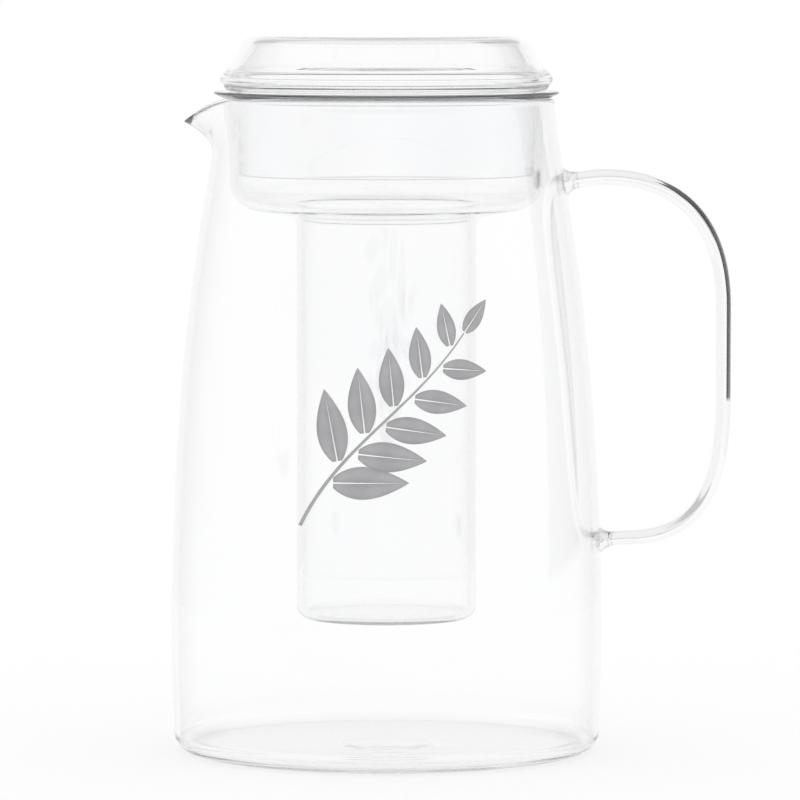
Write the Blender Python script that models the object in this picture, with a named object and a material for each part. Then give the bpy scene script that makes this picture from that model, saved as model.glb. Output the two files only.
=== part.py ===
"""Glass carafe with a hanging ice tube: jug body, strap handle, ice tube insert and plug lid.

Units are metres, +Z is up. The origin is the centre of the jug's base, the spout points along -X
and the handle along +X. Every piece but the handle is turned about the Z axis.
"""

import math

import bmesh
import bpy
from mathutils import Vector

MM = 0.001

# Jug body
JUG_HEIGHT = 228.0 * MM
JUG_RADIUS = 75.2 * MM
WIDEST_HEIGHT = 36.0 * MM
FOOT_TUCK = 0.8 * MM
HEEL_RADIUS = 7.5 * MM
MOUTH_RADIUS = 58.6 * MM
LOWER_FULLNESS = 120.0 * MM
UPPER_FULLNESS = 19.0 * MM
JUG_WALL = 2.2 * MM
JUG_FLOOR = 2.4 * MM
BUTTON_RADIUS = 17.0 * MM
BUTTON_RISE = 0.5 * MM
BUTTON_SLOPE = 2.0 * MM

# Pouring lip, pulled out of the mouth's rim
SPOUT_REACH = 12.6 * MM
SPOUT_DROP = 7.8 * MM
SPOUT_DEPTH = 20.0 * MM
SPOUT_HALF_ANGLE = math.radians(28.0)
SPOUT_EDGE_POWER = 1.6

# Strap handle: its section is an ellipse, thin as seen from the side and broad across the hand
HANDLE_DROP = 29.0 * MM
HANDLE_SPAN = 125.0 * MM
HANDLE_REACH = 42.3 * MM
ARM_RISE = 1.7 * MM
FOOT_RISE = 0.7 * MM
UPPER_BEND_RISE = 45.0 * MM
UPPER_BEND_RUN = 41.4 * MM
UPPER_BEND_FULLNESS = 0.64
LOWER_BEND_RISE = 48.1 * MM
LOWER_BEND_RUN = 34.2 * MM
LOWER_BEND_FULLNESS = 0.70
STRAP_TOP_THICKNESS = 5.8 * MM
STRAP_TOP_WIDTH = 14.8 * MM
STRAP_END_THICKNESS = 5.0 * MM
STRAP_END_WIDTH = 12.8 * MM
WELD_FLARE = 2.0 * MM
WELD_LENGTH = 4.5 * MM

# Ice tube insert: flange, cup, funnel and tube in one piece of glass
INSERT_WALL = 1.9 * MM
FLANGE_OVERHANG = 1.5 * MM
FLANGE_RISE = 2.6 * MM
FLANGE_EDGE = 0.8 * MM
FLANGE_FILLET = 1.2 * MM
CUP_CLEARANCE = 1.8 * MM
CUP_DEPTH = 36.5 * MM
CUP_CORNER = 10.4 * MM
FUNNEL_ANGLE = math.radians(10.0)
TUBE_RADIUS = 31.3 * MM
TUBE_NECK_FILLET = 3.0 * MM
TUBE_CORNER = 4.5 * MM
TUBE_FLOOR_GAP = 44.2 * MM

# Lid: hollow dome, folded brim and plug skirt in one piece of glass
LID_WALL = 2.0 * MM
DOME_HEIGHT = 19.2 * MM
DOME_SETBACK = 9.3 * MM
DOME_SHOULDER = 6.0 * MM
WAIST_SETBACK = 3.9 * MM
WAIST_ROUND = 9.0 * MM
BRIM_SETBACK = 2.3 * MM
BRIM_THICKNESS = 4.7 * MM
BRIM_TAPER = 2.2 * MM
BRIM_TAPER_RISE = 3.1 * MM
BRIM_FLARE = 4.3 * MM
BRIM_ROUND = 1.5 * MM
PLUG_CLEARANCE = 1.2 * MM
PLUG_END_GAP = 0.3 * MM

# Seats between pieces, and small roundings
SEAT_GAP = 0.3 * MM
EDGE_ROUND = 0.85 * MM
INNER_ROUND = 2.0 * MM
MOST_ROUNDING = 0.48

# Facets
JUG_SEGMENTS = 60
INSERT_SEGMENTS = 48
ARC_STEP = math.radians(30.0)
FOOT_STEPS = 3
WALL_STEPS = 11
STRAP_STEPS = 7
STRAP_SIDES = 14
SHARP_ANGLE = math.radians(40.0)

# Levels and radii that follow from the sizes above
FLANGE_RADIUS = MOUTH_RADIUS + FLANGE_OVERHANG
CUP_RADIUS = MOUTH_RADIUS - JUG_WALL - CUP_CLEARANCE
CUP_BORE = CUP_RADIUS - INSERT_WALL
RIM_RADIUS = MOUTH_RADIUS - JUG_WALL / 2
FLANGE_SLOPE = FLANGE_RISE / (FLANGE_RADIUS - CUP_RADIUS)
RIM_CENTRE = JUG_HEIGHT - JUG_WALL / 2
FLANGE_BOTTOM = RIM_CENTRE + (JUG_WALL / 2 + SEAT_GAP) * math.hypot(1.0, FLANGE_SLOPE)
FLANGE_BOTTOM -= FLANGE_SLOPE * (RIM_RADIUS - CUP_RADIUS)
FLANGE_TOP = FLANGE_BOTTOM + FLANGE_RISE + FLANGE_EDGE
BRIM_RADIUS = FLANGE_RADIUS - BRIM_SETBACK
CUP_BOTTOM = FLANGE_BOTTOM - CUP_DEPTH
TUBE_NECK = CUP_BOTTOM - (CUP_RADIUS - TUBE_RADIUS) * math.tan(FUNNEL_ANGLE)
TUBE_BOTTOM = JUG_FLOOR + TUBE_FLOOR_GAP
BRIM_BOTTOM = FLANGE_TOP + SEAT_GAP
BRIM_TOP = BRIM_BOTTOM + BRIM_THICKNESS
WAIST_RADIUS = BRIM_RADIUS - WAIST_SETBACK
WAIST_LEVEL = BRIM_TOP + BRIM_FLARE
DOME_RADIUS = BRIM_RADIUS - DOME_SETBACK
LID_TOP = BRIM_BOTTOM + DOME_HEIGHT
PLUG_RADIUS = CUP_BORE - PLUG_CLEARANCE
PLUG_BOTTOM = CUP_BOTTOM + CUP_CORNER + PLUG_END_GAP
HANDLE_TOP = JUG_HEIGHT - HANDLE_DROP
HANDLE_BOTTOM = HANDLE_TOP - HANDLE_SPAN
HANDLE_OUT = JUG_RADIUS + HANDLE_REACH


def bezier(corners, share):
    """The point of a cubic Bezier curve at this share of its parameter."""
    start, first, second, end = corners
    rest = 1.0 - share
    return start * rest**3 + first * 3 * rest**2 * share + second * 3 * rest * share**2 + end * share**3


def bezier_points(corners, steps):
    return [bezier(corners, step / steps) for step in range(steps + 1)]


def turned_by(vector, angle):
    cosine, sine = math.cos(angle), math.sin(angle)
    return Vector((vector.x * cosine - vector.y * sine, vector.x * sine + vector.y * cosine))


def rounded(corners):
    """An outline through (radius, height, rounding) corners, with an arc at each rounded one."""
    outline = []
    for index, (radius, height, rounding) in enumerate(corners):
        corner = Vector((radius, height))
        if rounding == 0.0:
            outline.append(corner)
            continue
        before = Vector(corners[index - 1][:2]) - corner
        after = Vector(corners[index + 1][:2]) - corner
        room = MOST_ROUNDING * min(before.length, after.length)
        before.normalize()
        after.normalize()
        half_angle = before.angle(after) / 2
        reach = min(rounding / math.tan(half_angle), room)
        centre = corner + (before + after).normalized() * reach / math.cos(half_angle)
        first = corner + before * reach - centre
        turn = math.copysign(math.pi - 2 * half_angle, -before.cross(after))
        steps = max(2, math.ceil(abs(turn) / ARC_STEP))
        outline += [centre + turned_by(first, turn * step / steps) for step in range(steps + 1)]
    return outline


def beside(corners, distance):
    """The corners of a parallel line, this far to the left of (radius, height, rounding) corners."""
    spots = [Vector(corner[:2]) for corner in corners]
    ways = [(after - before).normalized() for before, after in zip(spots, spots[1:])]
    moved = []
    for index, spot in enumerate(spots):
        way_in = ways[max(index - 1, 0)]
        way_out = ways[min(index, len(ways) - 1)]
        side_in = turned_by(way_in, math.pi / 2)
        side_out = turned_by(way_out, math.pi / 2)
        place = spot + (side_in + side_out) * distance / (1.0 + side_in.dot(side_out))
        rounding = corners[index][2]
        turn = way_in.cross(way_out)
        if turn != 0.0:
            rounding = max(0.0, rounding - math.copysign(distance, turn * distance))
        moved.append((place.x, place.y, rounding))
    return moved


def finished(name, solid):
    """The mesh object of a closed solid, its faces turned outwards and shaded smooth."""
    bmesh.ops.recalc_face_normals(solid, faces=solid.faces)
    mesh = bpy.data.meshes.new(name)
    solid.to_mesh(mesh)
    solid.free()
    mesh.shade_smooth()
    mesh.set_sharp_from_angle(angle=SHARP_ANGLE)
    return bpy.data.objects.new(name, mesh)


def turned(name, outline, segments):
    """A half section of (radius, height) points, spun about the Z axis into a mesh object."""
    solid = bmesh.new()
    points = [solid.verts.new((point.x, 0.0, point.y)) for point in outline]
    edges = [solid.edges.new(pair) for pair in zip(points, points[1:])]
    bmesh.ops.spin(
        solid,
        geom=points + edges,
        cent=(0.0, 0.0, 0.0),
        axis=(0.0, 0.0, 1.0),
        angle=2 * math.pi,
        steps=segments,
        use_merge=True,
    )
    bmesh.ops.remove_doubles(solid, verts=solid.verts, dist=MM / 1000)
    return finished(name, solid)


# Jug body


def wall_curves():
    """The outer wall as two Bezier curves: heel to the widest place, and on up to the rim."""
    heel = Vector((JUG_RADIUS - FOOT_TUCK, HEEL_RADIUS))
    widest = Vector((JUG_RADIUS, WIDEST_HEIGHT))
    rim = Vector((MOUTH_RADIUS, JUG_HEIGHT - JUG_WALL / 2))
    third = Vector((0.0, (WIDEST_HEIGHT - HEEL_RADIUS) / 3))
    lower = (heel, heel + third, widest - third, widest)
    upper = (widest, widest + Vector((0.0, LOWER_FULLNESS)), rim - Vector((0.0, UPPER_FULLNESS)), rim)
    return lower, upper


def wall_at(height):
    """The outer wall's point at this height, and its outward normal, both as (radius, height)."""
    lower, upper = wall_curves()
    curve = lower if height < WIDEST_HEIGHT else upper
    low, high = 0.0, 1.0
    for halving in range(24):
        middle = (low + high) / 2
        if bezier(curve, middle).y < height:
            low = middle
        else:
            high = middle
    nudge = 1e-3
    along = bezier(curve, min(1.0, low + nudge)) - bezier(curve, max(0.0, low - nudge))
    return bezier(curve, low), Vector((along.y, -along.x)).normalized()


def inner_wall_at(height):
    point, normal = wall_at(height)
    return point - normal * JUG_WALL


def jug_outline():
    """Half section of the jug: base, heel, outer wall, fire-polished rim, inner wall and floor."""
    foot_radius = JUG_RADIUS - FOOT_TUCK
    base = rounded([(0.0, 0.0, 0.0), (foot_radius, 0.0, HEEL_RADIUS), (foot_radius, JUG_HEIGHT, 0.0)])
    lower, upper = wall_curves()
    outer = bezier_points(lower, FOOT_STEPS)[1:] + bezier_points(upper, WALL_STEPS)[1:]
    inner = [inner_wall_at(point.y) for point in reversed(outer)]
    crown = (outer[-1] + inner[0]) / 2
    half_wall = Vector((JUG_WALL / 2, 0.0))
    rim = [crown + turned_by(half_wall, math.pi * quarter / 4) for quarter in (1, 2, 3)]
    floor = rounded(
        [
            (inner[-1].x, inner[-1].y, 0.0),
            (inner[-1].x, JUG_FLOOR, HEEL_RADIUS - JUG_WALL),
            (BUTTON_RADIUS, JUG_FLOOR, INNER_ROUND),
            (BUTTON_RADIUS - BUTTON_SLOPE, JUG_FLOOR + BUTTON_RISE, INNER_ROUND),
            (0.0, JUG_FLOOR + BUTTON_RISE, 0.0),
        ]
    )
    return base[:-1] + outer + rim + inner + floor[1:]


def pull_spout(mesh):
    """Draws the rim on the -X side outwards and down into a pouring lip."""
    root = JUG_HEIGHT - SPOUT_DEPTH
    for vertex in mesh.vertices:
        point = vertex.co
        share = (point.z - root) / SPOUT_DEPTH
        angle = math.atan2(point.y, -point.x)
        if share <= 0.0 or abs(angle) >= SPOUT_HALF_ANGLE:
            continue
        pull = math.cos(math.pi / 2 * angle / SPOUT_HALF_ANGLE) ** 2
        radius = math.hypot(point.x, point.y)
        growth = (radius + SPOUT_REACH * share**2 * pull) / radius
        point.x *= growth
        point.y *= growth
        point.z -= SPOUT_DROP * share * pull**SPOUT_EDGE_POWER


def jug_body():
    jug = turned("jug_body", jug_outline(), JUG_SEGMENTS)
    pull_spout(jug.data)
    return jug


# Strap handle


def straight(start, start_way, end, end_way):
    """A nearly straight stretch that leaves and meets its ends along these directions."""
    third = (end - start).length / 3
    return start, start + start_way * third, end - end_way * third, end


def bend(start, start_way, end, end_way, fullness):
    """A bend whose arms are this share of how far it runs along each direction."""
    start_arm = start_way * abs((end - start).dot(start_way)) * fullness
    end_arm = end_way * abs((end - start).dot(end_way)) * fullness
    return start, start + start_arm, end - end_arm, end


def handle_route():
    """Centreline of the strap, from the upper weld out, down the grip and back to the lower weld."""
    out, down = Vector((1.0, 0.0)), Vector((0.0, -1.0))
    upper_wall, upper_normal = wall_at(HANDLE_TOP)
    lower_wall, lower_normal = wall_at(HANDLE_BOTTOM)
    upper_weld = upper_wall + upper_normal * SEAT_GAP
    lower_weld = lower_wall + lower_normal * SEAT_GAP
    arm = Vector((HANDLE_OUT - UPPER_BEND_RUN, upper_weld.y + ARM_RISE))
    foot = Vector((HANDLE_OUT - LOWER_BEND_RUN, lower_weld.y + FOOT_RISE))
    grip_top = Vector((HANDLE_OUT, arm.y - UPPER_BEND_RISE))
    grip_bottom = Vector((HANDLE_OUT, foot.y + LOWER_BEND_RISE))
    route = [upper_weld]
    for stretch in (
        straight(upper_weld, upper_normal, arm, out),
        bend(arm, out, grip_top, down, UPPER_BEND_FULLNESS),
        straight(grip_top, down, grip_bottom, down),
        bend(grip_bottom, down, foot, -out, LOWER_BEND_FULLNESS),
        straight(foot, -out, lower_weld, -lower_normal),
    ):
        route += bezier_points(stretch, STRAP_STEPS)[1:]
    return route


def strap_ring(spot, across, share, distance):
    """Section of the strap at this share of its length and distance from the nearer weld."""
    flare = WELD_FLARE * max(0.0, 1.0 - distance / WELD_LENGTH) ** 2
    half_thickness = (STRAP_TOP_THICKNESS + (STRAP_END_THICKNESS - STRAP_TOP_THICKNESS) * share) / 2 + flare
    half_width = (STRAP_TOP_WIDTH + (STRAP_END_WIDTH - STRAP_TOP_WIDTH) * share) / 2 + flare
    ring = []
    for side in range(STRAP_SIDES):
        angle = 2 * math.pi * side / STRAP_SIDES
        flat = spot + across * half_thickness * math.cos(angle)
        ring.append(Vector((flat.x, half_width * math.sin(angle), flat.y)))
    return ring


def on_wall(point):
    """This point, moved along X onto the jug's outer wall, one seat gap out from it."""
    wall, normal = wall_at(point.z)
    reach = wall.x + SEAT_GAP / normal.x
    return Vector((math.sqrt(reach**2 - point.y**2), point.y, point.z))


def weld_rings(ring):
    """The weld's face as rings that follow the wall, from the one beside its middle to its rim."""
    middle = sum(ring, Vector()) / len(ring)
    return [[on_wall(middle.lerp(point, share)) for point in ring] for share in (0.5, 1.0)]


def handle():
    route = handle_route()
    lengths = [0.0]
    for before, after in zip(route, route[1:]):
        lengths.append(lengths[-1] + (after - before).length)
    rings = []
    for index, (spot, length) in enumerate(zip(route, lengths)):
        way = route[min(index + 1, len(route) - 1)] - route[max(index - 1, 0)]
        across = turned_by(way.normalized(), math.pi / 2)
        rings.append(strap_ring(spot, across, length / lengths[-1], min(length, lengths[-1] - length)))
    rings = weld_rings(rings[0]) + rings[1:-1] + weld_rings(rings[-1])[::-1]
    solid = bmesh.new()
    loops = [[solid.verts.new(point) for point in ring] for ring in rings]
    for before, after in zip(loops, loops[1:]):
        for side in range(STRAP_SIDES):
            other = (side + 1) % STRAP_SIDES
            solid.faces.new((before[side], before[other], after[other], after[side]))
    for loop, ring in ((loops[0], rings[0]), (loops[-1], rings[-1])):
        middle = solid.verts.new(on_wall(sum(ring, Vector()) / STRAP_SIDES))
        for side in range(STRAP_SIDES):
            solid.faces.new((loop[side], loop[(side + 1) % STRAP_SIDES], middle))
    return finished("handle", solid)


# Ice tube insert


def ice_tube():
    """A closed tube, a funnel and a cup, all one wall thick, and a flange with a thin edge on the rim."""
    outside = [
        (0.0, TUBE_BOTTOM, 0.0),
        (TUBE_RADIUS, TUBE_BOTTOM, TUBE_CORNER),
        (TUBE_RADIUS, TUBE_NECK, TUBE_NECK_FILLET),
        (CUP_RADIUS, CUP_BOTTOM, CUP_CORNER),
        (CUP_RADIUS, FLANGE_BOTTOM, FLANGE_FILLET),
    ]
    flange = [
        (FLANGE_RADIUS, FLANGE_TOP - FLANGE_EDGE, EDGE_ROUND),
        (FLANGE_RADIUS, FLANGE_TOP, EDGE_ROUND),
        (CUP_BORE, FLANGE_TOP, FLANGE_FILLET),
    ]
    inside = beside(outside, INSERT_WALL)[:-1]
    return turned("ice_tube", rounded(outside + flange + inside[::-1]), INSERT_SEGMENTS)


# Lid


def lid():
    """A dome, a hollow folded brim that rests on the flange and a plug skirt, all one wall thick."""
    outside = [
        (0.0, LID_TOP, 0.0),
        (DOME_RADIUS, LID_TOP, DOME_SHOULDER),
        (WAIST_RADIUS, WAIST_LEVEL, WAIST_ROUND),
        (BRIM_RADIUS, BRIM_TOP, BRIM_ROUND),
        (BRIM_RADIUS, BRIM_BOTTOM + BRIM_TAPER_RISE, BRIM_ROUND),
        (BRIM_RADIUS - BRIM_TAPER, BRIM_BOTTOM, BRIM_ROUND),
        (PLUG_RADIUS, BRIM_BOTTOM, EDGE_ROUND),
        (PLUG_RADIUS, PLUG_BOTTOM, EDGE_ROUND),
    ]
    return turned("lid", rounded(outside + beside(outside, -LID_WALL)[::-1]), INSERT_SEGMENTS)


# Materials and assembly


def glass(name, tint, roughness):
    """Clear borosilicate glass."""
    material = bpy.data.materials.new(name)
    material.use_nodes = True
    shader = material.node_tree.nodes["Principled BSDF"]
    shader.inputs["Base Color"].default_value = (*tint, 1.0)
    shader.inputs["Roughness"].default_value = roughness
    shader.inputs["Metallic"].default_value = 0.0
    shader.inputs["Transmission Weight"].default_value = 1.0
    shader.inputs["IOR"].default_value = 1.47
    return material


def group(name, parent=None):
    """An empty on the common axis, which carries the pieces that move together."""
    empty = bpy.data.objects.new(name, None)
    bpy.context.scene.collection.objects.link(empty)
    empty.parent = parent
    return empty


def add(piece, material, parent):
    bpy.context.scene.collection.objects.link(piece)
    piece.data.materials.append(material)
    piece.parent = parent


def main():
    for obj in list(bpy.data.objects):
        bpy.data.objects.remove(obj)
    jug_group = group("jug_group")
    insert_group = group("insert_group", jug_group)
    lid_group = group("lid_group", insert_group)
    add(jug_body(), glass("jug_glass", (0.97, 0.985, 0.98), 0.02), jug_group)
    add(handle(), glass("handle_glass", (0.95, 0.97, 0.975), 0.02), jug_group)
    add(ice_tube(), glass("insert_glass", (0.97, 0.985, 0.98), 0.02), insert_group)
    add(lid(), glass("lid_glass", (0.97, 0.985, 0.98), 0.02), lid_group)


main()
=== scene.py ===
"""Looks of the glass carafe: smooth glass for its four pieces, a plain leaf print, and a white studio."""

import math

import bmesh
import bpy
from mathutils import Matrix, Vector


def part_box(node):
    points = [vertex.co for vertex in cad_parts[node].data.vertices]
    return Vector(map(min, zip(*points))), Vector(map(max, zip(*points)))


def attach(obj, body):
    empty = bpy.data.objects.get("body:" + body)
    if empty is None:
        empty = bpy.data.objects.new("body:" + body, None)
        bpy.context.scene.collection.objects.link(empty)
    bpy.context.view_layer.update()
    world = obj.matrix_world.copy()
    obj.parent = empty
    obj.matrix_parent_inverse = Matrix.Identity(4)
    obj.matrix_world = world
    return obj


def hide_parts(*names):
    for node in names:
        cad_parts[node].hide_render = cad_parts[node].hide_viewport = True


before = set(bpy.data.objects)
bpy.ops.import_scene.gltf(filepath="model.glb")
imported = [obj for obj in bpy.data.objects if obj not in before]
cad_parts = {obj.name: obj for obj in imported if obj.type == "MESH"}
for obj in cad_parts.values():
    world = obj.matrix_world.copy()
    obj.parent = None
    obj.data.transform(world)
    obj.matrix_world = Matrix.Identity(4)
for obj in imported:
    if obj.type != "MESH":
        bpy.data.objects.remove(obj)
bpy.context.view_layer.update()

MM = 0.001

# Sizes read from the frame
JUG_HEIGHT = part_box("jug_body")[1].z
JUG_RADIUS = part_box("jug_body")[1].y
TUBE_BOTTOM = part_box("ice_tube")[0].z
PLUG_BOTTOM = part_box("lid")[0].z
LID_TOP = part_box("lid")[1].z

# Jug body
WIDEST_HEIGHT = 36.0 * MM
FOOT_TUCK = 0.8 * MM
HEEL_RADIUS = 7.5 * MM
MOUTH_RADIUS = 58.6 * MM
LOWER_FULLNESS = 120.0 * MM
UPPER_FULLNESS = 19.0 * MM
JUG_WALL = 2.2 * MM
JUG_FLOOR = 2.4 * MM
BUTTON_RADIUS = 17.0 * MM
BUTTON_RISE = 0.5 * MM
BUTTON_SLOPE = 2.0 * MM
SPOUT_REACH = 12.6 * MM
SPOUT_DROP = 7.8 * MM
SPOUT_DEPTH = 20.0 * MM
SPOUT_HALF_ANGLE = math.radians(28.0)
SPOUT_EDGE_POWER = 1.6

# Strap handle
HANDLE_DROP = 29.0 * MM
HANDLE_SPAN = 125.0 * MM
HANDLE_REACH = 42.3 * MM
ARM_RISE = 1.7 * MM
FOOT_RISE = 0.7 * MM
UPPER_BEND_RISE = 45.0 * MM
UPPER_BEND_RUN = 41.4 * MM
UPPER_BEND_FULLNESS = 0.64
LOWER_BEND_RISE = 48.1 * MM
LOWER_BEND_RUN = 34.2 * MM
LOWER_BEND_FULLNESS = 0.70
STRAP_TOP_THICKNESS = 5.8 * MM
STRAP_TOP_WIDTH = 14.8 * MM
STRAP_END_THICKNESS = 5.0 * MM
STRAP_END_WIDTH = 12.8 * MM
WELD_FLARE = 2.0 * MM
WELD_LENGTH = 4.5 * MM
WELD_GAP = 0.03 * MM
STRAP_INSET = 0.01 * MM
STRAP_SHARP_ANGLE = math.radians(50.0)

# Ice tube insert
INSERT_WALL = 1.9 * MM
FLANGE_OVERHANG = 1.5 * MM
FLANGE_RISE = 2.6 * MM
FLANGE_EDGE = 0.8 * MM
FLANGE_FILLET = 1.2 * MM
CUP_CLEARANCE = 1.8 * MM
CUP_DEPTH = 36.5 * MM
CUP_CORNER = 10.4 * MM
FUNNEL_ANGLE = math.radians(10.0)
TUBE_RADIUS = 31.3 * MM
TUBE_NECK_FILLET = 3.0 * MM
TUBE_CORNER = 4.5 * MM

# Lid
LID_WALL = 2.0 * MM
DOME_HEIGHT = 19.2 * MM
DOME_SETBACK = 9.3 * MM
DOME_SHOULDER = 6.0 * MM
WAIST_SETBACK = 3.9 * MM
WAIST_ROUND = 9.0 * MM
BRIM_SETBACK = 2.3 * MM
BRIM_THICKNESS = 4.7 * MM
BRIM_TAPER = 2.2 * MM
BRIM_TAPER_RISE = 3.1 * MM
BRIM_FLARE = 4.3 * MM
BRIM_ROUND = 1.5 * MM
PLUG_CLEARANCE = 1.2 * MM

SEAT_GAP = 0.3 * MM
EDGE_ROUND = 0.85 * MM
INNER_ROUND = 2.0 * MM
MOST_ROUNDING = 0.48

# Printed sprig on the front of the jug, in millimetres along the wall and up from its middle
SPRIG_HEIGHT = 118.0 * MM
STEM = (Vector((-30.0, -33.0)), Vector((-16.0, -6.0)), Vector((8.0, 6.0)), Vector((27.0, 32.0)))
STEM_WIDTH = 1.3
STEM_TAPER = 0.6
LEAVES = 10
FIRST_LEAF = 0.2
LONGEST_LEAF = 27.0
SHORTEST_LEAF = 14.0
LEAF_SPREAD = math.radians(52.0)
LEAF_SLIMNESS = 0.40
LEAF_START = 0.04
LEAF_BELLY = 0.8
LEAF_BLUNTNESS = 0.9
LEAF_EDGE = 0.05
VEIN = 0.5
INK_LIFT = 0.05 * MM
INK_THICKNESS = 0.03 * MM

# Glass: each piece has the density of its depth colour, the depth of its waves and the level of the shade
# painted where it is seen along a wall
GLASS_IOR = 1.47
GLASS_CLEAR = (1.0, 1.0, 1.0)
GLASS_TINT = (0.992, 0.994, 0.997)
GLASS_DEPTH_COLOUR = (0.49, 0.50, 0.53)
GLASS_HAZE = 0.02
JUG_GLASS = (0.8, 0.02 * MM, 0.8)
HANDLE_GLASS = (4.0, 0.01 * MM, 0.8)
INSERT_GLASS = (7.0, 0.01 * MM, 0.78)
LID_GLASS = (2.0, 0.01 * MM, 0.97)
# Painted shade: glass is painted greyer from this facing on, as a wall turns edge-on
PAINTED_EDGE_SHADE_START = 0.55
# Painted shade on the flange's rim, for the dark its edge shows, and how far in it reaches
FLANGE_PAINTED_SHADE = (0.07, 0.07, 0.075)
FLANGE_PAINTED_SHADE_DEPTH = 3.0 * MM
# Painted shade at the strap's two welds, and the distances over which it fades out
WELD_PAINTED_SHADE = (0.25, 0.25, 0.26)
WELD_PAINTED_SHADE_REACH = (3.5 * MM, 7.0 * MM)

# Ink
INK_DARK = (0.36, 0.36, 0.37)
INK_LIGHT = (0.44, 0.44, 0.45)
INK_ROUGHNESS = (0.42, 0.6)
GRAIN_DEPTH = 0.02 * MM

# Scale and detail of each noise, and the stretch of its values that is used
HAZE_NOISE = (18.0, 3.0)
WAVE_NOISE = (45.0, 0.0)
INK_NOISE = (160.0, 4.0)
GRAIN_NOISE = (2500.0, 2.0)
NOISE_STRETCH = (0.3, 0.7)

# Facets, and how finely curves are searched
SEGMENTS = 240
ARC_STEP = math.radians(7.0)
WALL_STEPS = 48
RIM_STEPS = 16
STRAP_SIDES = 40
STRAP_STEPS = 32
WELD_SHARES = (0.3, 0.6, 0.85, 1.0)
LEAF_STEPS = 16
STEM_STEPS = 48
FLOOR_SIDES = 128
HALVINGS = 30
WALL_NUDGE = 1e-3
STEM_NUDGE = 0.01
MERGE_DISTANCE = MM / 1000

# Floor, and the most turns that light takes in the glass
FLOOR_RADIUS = 0.6
FLOOR_GAP = 0.2 * MM
FLOOR_COLOUR = 0.2
MOST_BOUNCES = 320

# Levels of the world as glass sees it: RING goes by the height of a direction, SIDE by its bearing in
# half turns, and SIDE_LEVELS by its height again, brought from -1 to 1 into 0 to 1
RING = ((0.3, 1.0), (0.36, 0.6), (0.54, 0.6), (0.64, 0.92), (0.9, 0.92), (1.0, 0.75))
WANES = 4.0
WANE = 0.06
SIDE = ((0.258, 1.0), (0.268, 0.0), (0.43, 0.0), (0.445, 1.0))
SIDE_SLANT = 0.175
SIDE_LEVELS = ((0.4655, 1.0), (0.4685, 0.04), (0.84, 0.04), (0.865, 1.0))
SIDE_CROSSINGS = 2.5
NO_BOUNCE = 0.5

# Camera, as the photo was taken, in pixels where said so
PHOTO_WIDTH = 800
FOCAL_PIXELS = 6780.0
SENSOR_MM = 36.0
CAMERA_DISTANCE = 2.36
CAMERA_HEIGHT = 0.290
AIM = Vector((0.0047, 0.0, 0.1228))

# Levels and radii that follow from the sizes above
FLANGE_RADIUS = MOUTH_RADIUS + FLANGE_OVERHANG
CUP_RADIUS = MOUTH_RADIUS - JUG_WALL - CUP_CLEARANCE
CUP_BORE = CUP_RADIUS - INSERT_WALL
FLANGE_SLOPE = FLANGE_RISE / (FLANGE_RADIUS - CUP_RADIUS)
RIM_RADIUS = MOUTH_RADIUS - JUG_WALL / 2
RIM_CENTRE = JUG_HEIGHT - JUG_WALL / 2
FLANGE_BOTTOM = RIM_CENTRE + (JUG_WALL / 2 + SEAT_GAP) * math.hypot(1.0, FLANGE_SLOPE)
FLANGE_BOTTOM -= FLANGE_SLOPE * (RIM_RADIUS - CUP_RADIUS)
FLANGE_TOP = FLANGE_BOTTOM + FLANGE_RISE + FLANGE_EDGE
CUP_BOTTOM = FLANGE_BOTTOM - CUP_DEPTH
TUBE_NECK = CUP_BOTTOM - (CUP_RADIUS - TUBE_RADIUS) * math.tan(FUNNEL_ANGLE)
BRIM_RADIUS = FLANGE_RADIUS - BRIM_SETBACK
BRIM_BOTTOM = LID_TOP - DOME_HEIGHT
BRIM_TOP = BRIM_BOTTOM + BRIM_THICKNESS
PLUG_RADIUS = CUP_BORE - PLUG_CLEARANCE
HANDLE_TOP = JUG_HEIGHT - HANDLE_DROP
HANDLE_BOTTOM = HANDLE_TOP - HANDLE_SPAN
HANDLE_OUT = JUG_RADIUS + HANDLE_REACH - STRAP_INSET


def bezier(corners, share):
    start, first, second, end = corners
    rest = 1.0 - share
    return start * rest**3 + first * 3 * rest**2 * share + second * 3 * rest * share**2 + end * share**3


def bezier_points(corners, steps):
    return [bezier(corners, step / steps) for step in range(steps + 1)]


def turned_by(vector, angle):
    """A flat vector, turned anticlockwise."""
    cosine, sine = math.cos(angle), math.sin(angle)
    return Vector((vector.x * cosine - vector.y * sine, vector.x * sine + vector.y * cosine))


def rounded(corners):
    """An outline through (radius, height, rounding) corners, with an arc at each rounded one."""
    outline = []
    for index, (radius, height, rounding) in enumerate(corners):
        corner = Vector((radius, height))
        if rounding == 0.0:
            outline.append(corner)
            continue
        before = Vector(corners[index - 1][:2]) - corner
        after = Vector(corners[index + 1][:2]) - corner
        room = MOST_ROUNDING * min(before.length, after.length)
        before.normalize()
        after.normalize()
        half_angle = before.angle(after) / 2
        reach = min(rounding / math.tan(half_angle), room)
        centre = corner + (before + after).normalized() * reach / math.cos(half_angle)
        first = corner + before * reach - centre
        turn = math.copysign(math.pi - 2 * half_angle, -before.cross(after))
        steps = max(2, math.ceil(abs(turn) / ARC_STEP))
        outline += [centre + turned_by(first, turn * step / steps) for step in range(steps + 1)]
    return outline


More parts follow.
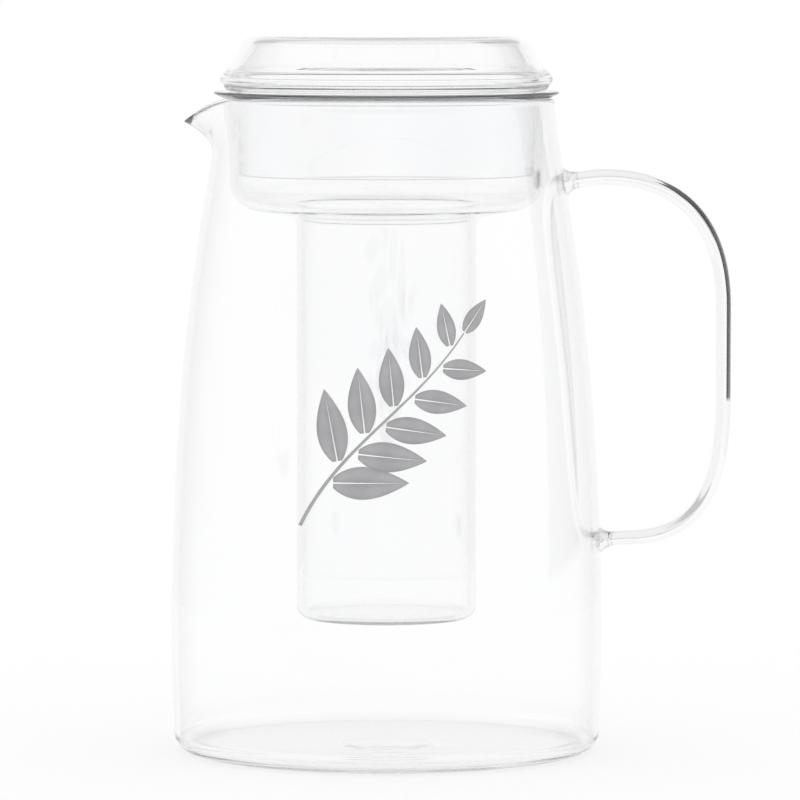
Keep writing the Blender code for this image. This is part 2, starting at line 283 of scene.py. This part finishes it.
def beside(corners, distance):
    """The corners of a parallel line, this far to the left of (radius, height, rounding) corners."""
    spots = [Vector(corner[:2]) for corner in corners]
    ways = [(after - before).normalized() for before, after in zip(spots, spots[1:])]
    moved = []
    for index, spot in enumerate(spots):
        way_in = ways[max(index - 1, 0)]
        way_out = ways[min(index, len(ways) - 1)]
        side_in = turned_by(way_in, math.pi / 2)
        side_out = turned_by(way_out, math.pi / 2)
        place = spot + (side_in + side_out) * distance / (1.0 + side_in.dot(side_out))
        rounding = corners[index][2]
        turn = way_in.cross(way_out)
        if turn != 0.0:
            rounding = max(0.0, rounding - math.copysign(distance, turn * distance))
        moved.append((place.x, place.y, rounding))
    return moved


def smooth_object(name, solid, material):
    """A linked object of this solid, its faces turned outwards and shaded smooth."""
    bmesh.ops.recalc_face_normals(solid, faces=solid.faces)
    mesh = bpy.data.meshes.new(name)
    solid.to_mesh(mesh)
    solid.free()
    mesh.shade_smooth()
    mesh.materials.append(material)
    piece = bpy.data.objects.new(name, mesh)
    bpy.context.scene.collection.objects.link(piece)
    return piece


def turned(name, outline, material):
    """A half section of (radius, height) points, turned about the Z axis into a smooth closed mesh."""
    solid = bmesh.new()
    points = [solid.verts.new((point.x, 0.0, point.y)) for point in outline]
    edges = [solid.edges.new(pair) for pair in zip(points, points[1:])]
    bmesh.ops.spin(
        solid,
        geom=points + edges,
        cent=(0.0, 0.0, 0.0),
        axis=(0.0, 0.0, 1.0),
        angle=2 * math.pi,
        steps=SEGMENTS,
        use_merge=True,
    )
    bmesh.ops.remove_doubles(solid, verts=solid.verts, dist=MERGE_DISTANCE)
    return smooth_object(name, solid, material)


# Jug body


def wall_curves():
    """The outer wall's two curves: from the heel to the widest place, and on to the rim."""
    heel = Vector((JUG_RADIUS - FOOT_TUCK, HEEL_RADIUS))
    widest = Vector((JUG_RADIUS, WIDEST_HEIGHT))
    rim = Vector((MOUTH_RADIUS, JUG_HEIGHT - JUG_WALL / 2))
    third = Vector((0.0, (WIDEST_HEIGHT - HEEL_RADIUS) / 3))
    lower = (heel, heel + third, widest - third, widest)
    upper = (widest, widest + Vector((0.0, LOWER_FULLNESS)), rim - Vector((0.0, UPPER_FULLNESS)), rim)
    return lower, upper


def wall_at(height):
    """Point and outward normal of the outer wall at this height."""
    lower, upper = wall_curves()
    curve = lower if height < WIDEST_HEIGHT else upper
    low, high = 0.0, 1.0
    for _ in range(HALVINGS):
        middle = (low + high) / 2
        if bezier(curve, middle).y < height:
            low = middle
        else:
            high = middle
    along = bezier(curve, min(1.0, low + WALL_NUDGE)) - bezier(curve, max(0.0, low - WALL_NUDGE))
    return bezier(curve, low), Vector((along.y, -along.x)).normalized()


def inner_wall_at(height):
    point, normal = wall_at(height)
    return point - normal * JUG_WALL


def jug_outline():
    """Half section: out along the base, up the wall, over the rim, down inside and in along the floor."""
    foot_radius = JUG_RADIUS - FOOT_TUCK
    base = rounded([(0.0, 0.0, 0.0), (foot_radius, 0.0, HEEL_RADIUS), (foot_radius, JUG_HEIGHT, 0.0)])
    lower, upper = wall_curves()
    outer = bezier_points(lower, WALL_STEPS // 4)[1:] + bezier_points(upper, WALL_STEPS)[1:]
    inner = [inner_wall_at(point.y) for point in reversed(outer)]
    crown = (outer[-1] + inner[0]) / 2
    half_wall = Vector((JUG_WALL / 2, 0.0))
    rim = [crown + turned_by(half_wall, math.pi * step / RIM_STEPS) for step in range(1, RIM_STEPS)]
    floor = rounded(
        [
            (inner[-1].x, inner[-1].y, 0.0),
            (inner[-1].x, JUG_FLOOR, HEEL_RADIUS - JUG_WALL),
            (BUTTON_RADIUS, JUG_FLOOR, INNER_ROUND),
            (BUTTON_RADIUS - BUTTON_SLOPE, JUG_FLOOR + BUTTON_RISE, INNER_ROUND),
            (0.0, JUG_FLOOR + BUTTON_RISE, 0.0),
        ]
    )
    return base[:-1] + outer + rim + inner + floor[1:]


def pull_spout(mesh):
    """Draws the rim out and down into the pouring lip."""
    root = JUG_HEIGHT - SPOUT_DEPTH
    for vertex in mesh.vertices:
        point = vertex.co
        share = (point.z - root) / SPOUT_DEPTH
        angle = math.atan2(point.y, -point.x)
        if share <= 0.0 or abs(angle) >= SPOUT_HALF_ANGLE:
            continue
        pull = math.cos(math.pi / 2 * angle / SPOUT_HALF_ANGLE) ** 2
        radius = math.hypot(point.x, point.y)
        growth = (radius + SPOUT_REACH * share**2 * pull) / radius
        point.x *= growth
        point.y *= growth
        point.z -= SPOUT_DROP * share * pull**SPOUT_EDGE_POWER


def add_jug(material):
    jug = turned("jug", jug_outline(), material)
    pull_spout(jug.data)
    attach(jug, "jug")
    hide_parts("jug_body")


# Printed sprig


def on_front(spot, lift):
    """A place on the jug's front, this far out from the wall, for a spot of the print's flat drawing."""
    wall = wall_at(SPRIG_HEIGHT + spot.y * MM)[0]
    angle = spot.x * MM / wall.x
    radius = wall.x + lift
    return Vector((radius * math.sin(angle), -radius * math.cos(angle), wall.y))


def add_patch(solid, rows):
    """A closed sheet of ink through rows of flat spots."""
    layers = []
    for lift in (INK_LIFT, INK_LIFT + INK_THICKNESS):
        layers.append([[solid.verts.new(on_front(spot, lift)) for spot in row] for row in rows])
    low, high = layers
    across, along = len(rows[0]) - 1, len(rows) - 1
    for row in range(along):
        for column in range(across):
            for layer in layers:
                near, far = layer[row], layer[row + 1]
                solid.faces.new((near[column], near[column + 1], far[column + 1], far[column]))
        for edge in (0, across):
            solid.faces.new((low[row][edge], low[row + 1][edge], high[row + 1][edge], high[row][edge]))
    for row in (0, along):
        bottom, top = low[row], high[row]
        for column in range(across):
            solid.faces.new((bottom[column], bottom[column + 1], top[column + 1], top[column]))


def add_leaf(solid, root, way, length):
    """A pointed leaf in two halves, with the bare vein between them."""
    side_way = turned_by(way, math.pi / 2)
    for side in (-1.0, 1.0):
        rows = []
        for step in range(LEAF_STEPS + 1):
            share = LEAF_START + (1.0 - LEAF_START) * step / LEAF_STEPS
            bulge = math.sin(math.pi * share**LEAF_BELLY) ** LEAF_BLUNTNESS
            half_width = length * LEAF_SLIMNESS / 2 * bulge
            vein = VEIN / 2 * (1.0 - share)
            middle = root + way * length * share
            inner = middle + side_way * side * vein
            outer = middle + side_way * side * (vein + half_width + LEAF_EDGE)
            rows.append([inner, (inner + outer) / 2, outer])
        add_patch(solid, rows)


def add_print(material):
    """A sprig: a curved stem, leaves to both sides in turn, and one at the tip."""
    solid = bmesh.new()
    rows = []
    for step in range(STEM_STEPS + 1):
        share = step / STEM_STEPS
        way = (bezier(STEM, share + STEM_NUDGE) - bezier(STEM, share - STEM_NUDGE)).normalized()
        half_width = turned_by(way, math.pi / 2) * STEM_WIDTH / 2 * (1.0 - STEM_TAPER * share)
        rows.append([bezier(STEM, share) - half_width, bezier(STEM, share) + half_width])
    add_patch(solid, rows)
    for leaf in range(LEAVES + 1):
        share = FIRST_LEAF + (1.0 - FIRST_LEAF) * leaf / LEAVES
        root = bezier(STEM, share)
        way = (root - bezier(STEM, share - 2 * STEM_NUDGE)).normalized()
        length = LONGEST_LEAF + (SHORTEST_LEAF - LONGEST_LEAF) * leaf / LEAVES
        if leaf == LEAVES:
            add_leaf(solid, root, way, length)
            continue
        side = 1.0 if leaf % 2 else -1.0
        out = turned_by(way, side * LEAF_SPREAD)
        add_leaf(solid, root + out * STEM_WIDTH, out, length)
    piece = smooth_object("printed_sprig", solid, material)
    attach(piece, "jug")


# Strap handle


def straight(start, start_way, end, end_way):
    """A nearly straight stretch that leaves and arrives in these directions."""
    third = (end - start).length / 3
    return start, start + start_way * third, end - end_way * third, end


def bend(start, start_way, end, end_way, fullness):
    """A corner between two directions, fuller towards the corner as the fullness grows."""
    start_arm = start_way * abs((end - start).dot(start_way)) * fullness
    end_arm = end_way * abs((end - start).dot(end_way)) * fullness
    return start, start + start_arm, end - end_arm, end


def handle_route():
    """Centreline of the strap, from the upper weld out, down the grip and back to the lower weld."""
    out, down = Vector((1.0, 0.0)), Vector((0.0, -1.0))
    upper_wall, upper_normal = wall_at(HANDLE_TOP)
    lower_wall, lower_normal = wall_at(HANDLE_BOTTOM)
    upper_weld = upper_wall + upper_normal * WELD_GAP
    lower_weld = lower_wall + lower_normal * WELD_GAP
    arm = Vector((HANDLE_OUT - UPPER_BEND_RUN, HANDLE_TOP + ARM_RISE))
    foot = Vector((HANDLE_OUT - LOWER_BEND_RUN, HANDLE_BOTTOM + FOOT_RISE))
    grip_top = Vector((HANDLE_OUT, arm.y - UPPER_BEND_RISE))
    grip_bottom = Vector((HANDLE_OUT, foot.y + LOWER_BEND_RISE))
    route = [upper_weld]
    for stretch in (
        straight(upper_weld, upper_normal, arm, out),
        bend(arm, out, grip_top, down, UPPER_BEND_FULLNESS),
        straight(grip_top, down, grip_bottom, down),
        bend(grip_bottom, down, foot, -out, LOWER_BEND_FULLNESS),
        straight(foot, -out, lower_weld, -lower_normal),
    ):
        route += bezier_points(stretch, STRAP_STEPS)[1:]
    return route


def strap_ring(spot, across, share, distance):
    """Section of the strap at this share of its length and distance from the nearer weld."""
    flare = WELD_FLARE * max(0.0, 1.0 - distance / WELD_LENGTH) ** 2
    half_thickness = (STRAP_TOP_THICKNESS + (STRAP_END_THICKNESS - STRAP_TOP_THICKNESS) * share) / 2 + flare
    half_width = (STRAP_TOP_WIDTH + (STRAP_END_WIDTH - STRAP_TOP_WIDTH) * share) / 2 + flare
    ring = []
    for side in range(STRAP_SIDES):
        angle = 2 * math.pi * side / STRAP_SIDES
        flat = spot + across * half_thickness * math.cos(angle)
        ring.append(Vector((flat.x, half_width * math.sin(angle), flat.y)))
    return ring


def on_wall(point):
    """This point, moved along X onto the jug's outer wall."""
    wall, normal = wall_at(point.z)
    reach = wall.x + WELD_GAP / normal.x
    return Vector((math.sqrt(reach**2 - point.y**2), point.y, point.z))


def weld_rings(ring):
    """The end of the strap, as rings that lie on the jug's wall, from its middle to this ring."""
    middle = sum(ring, Vector()) / len(ring)
    return [[on_wall(middle.lerp(point, share)) for point in ring] for share in WELD_SHARES]


def add_handle(material):
    route = handle_route()
    lengths = [0.0]
    for before, after in zip(route, route[1:]):
        lengths.append(lengths[-1] + (after - before).length)
    rings = []
    for index, (spot, length) in enumerate(zip(route, lengths)):
        way = route[min(index + 1, len(route) - 1)] - route[max(index - 1, 0)]
        across = turned_by(way.normalized(), math.pi / 2)
        rings.append(strap_ring(spot, across, length / lengths[-1], min(length, lengths[-1] - length)))
    rings = weld_rings(rings[0]) + rings[1:-1] + weld_rings(rings[-1])[::-1]
    solid = bmesh.new()
    loops = [[solid.verts.new(point) for point in ring] for ring in rings]
    for before, after in zip(loops, loops[1:]):
        for side in range(STRAP_SIDES):
            other = (side + 1) % STRAP_SIDES
            solid.faces.new((before[side], before[other], after[other], after[side]))
    for loop, ring in ((loops[0], rings[0]), (loops[-1], rings[-1])):
        middle = solid.verts.new(on_wall(sum(ring, Vector()) / STRAP_SIDES))
        for side in range(STRAP_SIDES):
            solid.faces.new((loop[side], loop[(side + 1) % STRAP_SIDES], middle))
    piece = smooth_object("strap_handle", solid, material)
    piece.data.set_sharp_from_angle(angle=STRAP_SHARP_ANGLE)
    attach(piece, "jug")
    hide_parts("handle")


# Ice tube insert and lid


def add_insert(material):
    outside = [
        (0.0, TUBE_BOTTOM, 0.0),
        (TUBE_RADIUS, TUBE_BOTTOM, TUBE_CORNER),
        (TUBE_RADIUS, TUBE_NECK, TUBE_NECK_FILLET),
        (CUP_RADIUS, CUP_BOTTOM, CUP_CORNER),
        (CUP_RADIUS, FLANGE_BOTTOM, FLANGE_FILLET),
    ]
    flange = [
        (FLANGE_RADIUS, FLANGE_TOP - FLANGE_EDGE, EDGE_ROUND),
        (FLANGE_RADIUS, FLANGE_TOP, EDGE_ROUND),
        (CUP_BORE, FLANGE_TOP, FLANGE_FILLET),
    ]
    inside = beside(outside, INSERT_WALL)[:-1]
    piece = turned("ice_tube_insert", rounded(outside + flange + inside[::-1]), material)
    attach(piece, "insert")
    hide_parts("ice_tube")


def add_lid(material):
    outside = [
        (0.0, LID_TOP, 0.0),
        (BRIM_RADIUS - DOME_SETBACK, LID_TOP, DOME_SHOULDER),
        (BRIM_RADIUS - WAIST_SETBACK, BRIM_TOP + BRIM_FLARE, WAIST_ROUND),
        (BRIM_RADIUS, BRIM_TOP, BRIM_ROUND),
        (BRIM_RADIUS, BRIM_BOTTOM + BRIM_TAPER_RISE, BRIM_ROUND),
        (BRIM_RADIUS - BRIM_TAPER, BRIM_BOTTOM, BRIM_ROUND),
        (PLUG_RADIUS, BRIM_BOTTOM, EDGE_ROUND),
        (PLUG_RADIUS, PLUG_BOTTOM, EDGE_ROUND),
    ]
    outline = rounded(outside + beside(outside, -LID_WALL)[::-1])
    piece = turned("plug_lid", outline, material)
    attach(piece, "cover")
    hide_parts("lid")


# Materials


def mottle(material, scale, detail):
    """Noise over the object's own coordinates, as the number that a material's detail follows."""
    nodes, links = material.node_tree.nodes, material.node_tree.links
    coordinates = nodes.new("ShaderNodeTexCoord")
    noise = nodes.new("ShaderNodeTexNoise")
    noise.inputs["Scale"].default_value = scale
    noise.inputs["Detail"].default_value = detail
    links.new(coordinates.outputs["Object"], noise.inputs["Vector"])
    return noise.outputs["Fac"]


def spread(material, source, low, high, stretch=NOISE_STRETCH):
    """A number that runs from low to high as the source runs over this stretch."""
    node = material.node_tree.nodes.new("ShaderNodeMapRange")
    material.node_tree.links.new(source, node.inputs["Value"])
    node.inputs["From Min"].default_value = stretch[0]
    node.inputs["From Max"].default_value = stretch[1]
    node.inputs["To Min"].default_value = low
    node.inputs["To Max"].default_value = high
    return node.outputs["Result"]


def blend(material, source, low, high):
    """A colour that runs from low to high as the noise does."""
    node = material.node_tree.nodes.new("ShaderNodeMix")
    node.data_type = "RGBA"
    material.node_tree.links.new(spread(material, source, 0.0, 1.0), node.inputs["Factor"])
    node.inputs["A"].default_value = (*low, 1.0)
    node.inputs["B"].default_value = (*high, 1.0)
    return node.outputs["Result"]


def relief(material, source, depth):
    """A normal that dips and rises by this depth as the noise does."""
    node = material.node_tree.nodes.new("ShaderNodeBump")
    node.inputs["Distance"].default_value = depth
    material.node_tree.links.new(source, node.inputs["Height"])
    return node.outputs["Normal"]


def distance(material, point, weights):
    """How far a place is from this point, in the object's own coordinates times these weights."""
    nodes, links = material.node_tree.nodes, material.node_tree.links
    coordinates = nodes.new("ShaderNodeTexCoord")
    place = nodes.new("ShaderNodeVectorMath")
    place.operation = "MULTIPLY"
    place.inputs[1].default_value = weights
    links.new(coordinates.outputs["Object"], place.inputs[0])
    node = nodes.new("ShaderNodeVectorMath")
    node.operation = "DISTANCE"
    node.inputs[1].default_value = point
    links.new(place.outputs["Vector"], node.inputs[0])
    return node.outputs["Value"]


def paint_shade(material, share, colour):
    """Paints shade: goes over from the shader's own colour to this darker one, as the share does from 0 to
    1.
    """
    nodes, links = material.node_tree.nodes, material.node_tree.links
    socket = nodes["Principled BSDF"].inputs["Base Color"]
    node = nodes.new("ShaderNodeMix")
    node.data_type = "RGBA"
    links.new(share, node.inputs["Factor"])
    links.new(socket.links[0].from_socket, node.inputs["A"])
    node.inputs["B"].default_value = (*colour, 1.0)
    links.new(node.outputs["Result"], socket)


def paint_flange_shade(material):
    """The flange's rim is painted dark grey: painted shade for the dark that its thick edge shows by
    refraction.
    """
    radius = distance(material, (0.0, 0.0, 0.0), (1.0, 1.0, 0.0))
    stretch = (FLANGE_RADIUS - FLANGE_PAINTED_SHADE_DEPTH, FLANGE_RADIUS - FLANGE_PAINTED_SHADE_DEPTH / 2)
    paint_shade(material, spread(material, radius, 0.0, 1.0, stretch), FLANGE_PAINTED_SHADE)
    return material


def paint_weld_shade(material):
    """The strap's two ends, where it is fused to the wall, are painted grey: painted shade for the dark that
    the glass shows at the welds.
    """
    for height in (HANDLE_TOP, HANDLE_BOTTOM):
        wall = wall_at(height)[0]
        reach = distance(material, (wall.x, 0.0, wall.y), (1.0, 1.0, 1.0))
        paint_shade(material, spread(material, reach, 1.0, 0.0, WELD_PAINTED_SHADE_REACH), WELD_PAINTED_SHADE)
    return material


def glass(name, density, waviness, along):
    """Clear glass: faintly wavy and hazy from the flame, with shade painted in where it is seen along a
    wall, down to the level given.
    """
    material = bpy.data.materials.new(name)
    material.use_nodes = True
    nodes, links = material.node_tree.nodes, material.node_tree.links
    shader = nodes["Principled BSDF"]
    shader.inputs["Transmission Weight"].default_value = 1.0
    shader.inputs["IOR"].default_value = GLASS_IOR
    haze = mottle(material, *HAZE_NOISE)
    wave = mottle(material, *WAVE_NOISE)
    links.new(blend(material, haze, GLASS_TINT, GLASS_CLEAR), shader.inputs["Base Color"])
    links.new(spread(material, haze, 0.0, GLASS_HAZE), shader.inputs["Roughness"])
    links.new(relief(material, wave, waviness), shader.inputs["Normal"])
    # Painted shade: the colour greys towards the level along where the wall is seen edge-on
    weight = nodes.new("ShaderNodeLayerWeight")
    share = spread(material, weight.outputs["Facing"], 0.0, 1.0, (PAINTED_EDGE_SHADE_START, 1.0))
    paint_shade(material, share, (along, along, along))
    volume = nodes.new("ShaderNodeVolumeAbsorption")
    volume.inputs["Color"].default_value = (*GLASS_DEPTH_COLOUR, 1.0)
    volume.inputs["Density"].default_value = density
    links.new(volume.outputs["Volume"], nodes["Material Output"].inputs["Volume"])
    return material


def ink():
    """Grey enamel print, a little uneven and finely grained."""
    material = bpy.data.materials.new("grey_print")
    material.use_nodes = True
    links = material.node_tree.links
    shader = material.node_tree.nodes["Principled BSDF"]
    patches = mottle(material, *INK_NOISE)
    grain = mottle(material, *GRAIN_NOISE)
    links.new(blend(material, patches, INK_DARK, INK_LIGHT), shader.inputs["Base Color"])
    links.new(spread(material, patches, *INK_ROUGHNESS), shader.inputs["Roughness"])
    links.new(relief(material, grain, GRAIN_DEPTH), shader.inputs["Normal"])
    return material


# Studio


def ramp(tree, source, stops):
    """A level that follows the source through these (position, level) stops."""
    node = tree.nodes.new("ShaderNodeValToRGB")
    tree.links.new(source, node.inputs["Fac"])
    elements = node.color_ramp.elements
    while len(elements) < len(stops):
        elements.new(1.0)
    for element, (position, level) in zip(elements, stops):
        element.position = position
        element.color = (level, level, level, 1.0)
    return node.outputs["Color"]


def calculate(tree, operation, *values):
    """The result of this operation on numbers and sockets."""
    node = tree.nodes.new("ShaderNodeMath")
    node.operation = operation
    for socket, value in zip(node.inputs, values):
        if isinstance(value, float):
            socket.default_value = value
        else:
            tree.links.new(value, socket)
    return node.outputs["Value"]


def side_level(tree, path, height, bearing):
    """A dark card to one side, seen only through a single solid and not in a reflection off its face."""
    slant = calculate(tree, "MULTIPLY", height, SIDE_SLANT)
    level = ramp(tree, calculate(tree, "MULTIPLY_ADD", bearing, 1.0 / math.pi, slant), SIDE)
    # A ramp runs from 0 to 1, so a height from -1 to 1 is brought to that
    share = calculate(tree, "MULTIPLY_ADD", height, 0.5, 0.5)
    crossed = calculate(tree, "GREATER_THAN", path.outputs["Transmission Depth"], SIDE_CROSSINGS)
    for other in (path.outputs["Is Reflection Ray"], ramp(tree, share, SIDE_LEVELS), crossed):
        level = calculate(tree, "MAXIMUM", level, other)
    return level


def add_world():
    """White for the camera and the floor; glass also shows a grey ring overhead and a dark card."""
    world = bpy.data.worlds.new("white_studio")
    bpy.context.scene.world = world
    world.use_nodes = True
    tree = world.node_tree
    coordinates = tree.nodes.new("ShaderNodeTexCoord")
    split = tree.nodes.new("ShaderNodeSeparateXYZ")
    tree.links.new(coordinates.outputs["Generated"], split.inputs["Vector"])
    path = tree.nodes.new("ShaderNodeLightPath")
    height = split.outputs["Z"]
    bearing = calculate(tree, "ARCTAN2", split.outputs["X"], split.outputs["Y"])
    wave = calculate(tree, "COSINE", calculate(tree, "MULTIPLY", bearing, WANES))
    shade = calculate(tree, "MULTIPLY_ADD", wave, WANE / 2, 1.0 - WANE / 2)
    for level in (side_level(tree, path, height, bearing), ramp(tree, height, RING)):
        shade = calculate(tree, "MULTIPLY", shade, level)
    bent = calculate(tree, "MAXIMUM", path.outputs["Is Glossy Ray"], path.outputs["Is Transmission Ray"])
    direct = calculate(tree, "LESS_THAN", path.outputs["Diffuse Depth"], NO_BOUNCE)
    choose = tree.nodes.new("ShaderNodeMix")
    tree.links.new(calculate(tree, "MULTIPLY", bent, direct), choose.inputs["Factor"])
    choose.inputs["A"].default_value = 1.0
    tree.links.new(shade, choose.inputs["B"])
    background = tree.nodes["Background"]
    tree.links.new(choose.outputs["Result"], background.inputs["Color"])
    background.inputs["Strength"].default_value = 1.0


def add_floor():
    """A white floor: most of its light is its own, and the rest shows the object's shadow."""
    bpy.ops.mesh.primitive_circle_add(
        vertices=FLOOR_SIDES, radius=FLOOR_RADIUS, fill_type="NGON", location=(0.0, 0.0, -FLOOR_GAP)
    )
    floor = bpy.context.object
    floor.name = "floor"
    material = bpy.data.materials.new("white_floor")
    material.use_nodes = True
    shader = material.node_tree.nodes["Principled BSDF"]
    shader.inputs["Base Color"].default_value = (FLOOR_COLOUR, FLOOR_COLOUR, FLOOR_COLOUR, 1.0)
    shader.inputs["Roughness"].default_value = 1.0
    shader.inputs["Specular IOR Level"].default_value = 0.0
    shader.inputs["Emission Color"].default_value = (1.0, 1.0, 1.0, 1.0)
    shader.inputs["Emission Strength"].default_value = 1.0 - FLOOR_COLOUR
    floor.data.materials.append(material)


def add_camera():
    camera = bpy.data.objects.new("camera", bpy.data.cameras.new("camera"))
    bpy.context.scene.collection.objects.link(camera)
    camera.data.sensor_width = SENSOR_MM
    camera.data.lens = SENSOR_MM * FOCAL_PIXELS / PHOTO_WIDTH
    camera.location = (AIM.x, -CAMERA_DISTANCE, CAMERA_HEIGHT)
    camera.rotation_euler = (AIM - camera.location).to_track_quat("-Z", "Y").to_euler()
    bpy.context.scene.camera = camera


scene = bpy.context.scene
scene.view_settings.view_transform = "Standard"
scene.cycles.max_bounces = MOST_BOUNCES
scene.cycles.transmission_bounces = MOST_BOUNCES
scene.cycles.glossy_bounces = MOST_BOUNCES

add_jug(glass("jug_clear_glass", *JUG_GLASS))
add_print(ink())
add_handle(paint_weld_shade(glass("handle_clear_glass", *HANDLE_GLASS)))
add_insert(paint_flange_shade(glass("insert_clear_glass", *INSERT_GLASS)))
add_lid(glass("lid_clear_glass", *LID_GLASS))
add_world()
add_floor()
add_camera()
bpy.context.view_layer.update()
